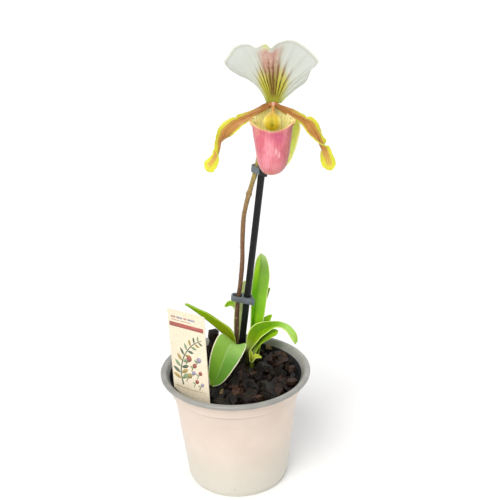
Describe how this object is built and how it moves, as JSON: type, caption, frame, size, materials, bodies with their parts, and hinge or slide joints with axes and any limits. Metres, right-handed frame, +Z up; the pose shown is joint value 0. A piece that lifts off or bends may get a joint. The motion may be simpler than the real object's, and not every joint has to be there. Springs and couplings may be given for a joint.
{
  "type": "potted paphiopedilum orchid",
  "caption": "Slipper orchid with a pouch-lipped flower on a staked, clipped stem over strap leaves, in a bark-filled nursery pot with a plant card.",
  "frame": {"origin": "centre of the pot's flat base, on the surface that it stands on", "axes": "+Z up along the pot's axis, front towards -Y, +X to the right seen from the front"},
  "size_m": [0.103, 0.09, 0.2654],
  "materials": {
    "pot_plastic": "satin warm white outside, grey rim and dark inside",
    "bark": "rough dark brown bark chips",
    "leaf_green": "waxy strap leaf with a lime edge, modelled with the density of leather for fleshy tissue",
    "leaf_pale": "waxy pale leaf with a cream edge",
    "shoot_green": "young pale yellow-green shoot",
    "scape_skin": "brown-purple stem with short hairs, olive towards the flower",
    "bract_green": "thin dry-edged green bract",
    "ovary_green": "ribbed olive ovary with short hairs",
    "dorsal_sepal": "cream, with fanning dark stripes on a yellow-green centre",
    "petal": "waxy orange-brown with a wavy yellow-green edge",
    "synsepal": "pale yellow-green with faint veins",
    "pouch_rose": "glossy rose pink with fine veins and mottling",
    "staminode_yellow": "glossy bright yellow shield with a dark green centre",
    "stake_plastic": "near-black satin plastic",
    "clip_plastic": "dark grey moulded plastic",
    "card_stock": null
  },
  "bodies": {
    "root": {"pot": "pot_plastic", "bark_mix": "bark", "leaf_1": "leaf_green", "leaf_2": "leaf_green", "leaf_3": "leaf_pale", "leaf_4": "leaf_green", "leaf_5": "leaf_green", "leaf_6": "leaf_green", "leaf_7": "leaf_pale", "leaf_8": "leaf_green", "leaf_9": "leaf_green", "shoot": "shoot_green", "scape": "scape_skin", "bract": "bract_green", "ovary": "ovary_green", "dorsal_sepal": "dorsal_sepal", "petal_left": "petal", "petal_right": "petal", "synsepal": "synsepal", "pouch": "pouch_rose", "column_staminode": "staminode_yellow", "stake": "stake_plastic", "clip_lower": "clip_plastic", "clip_upper": "clip_plastic", "plant_card": "card_stock"}
  },
  "joints": []
}
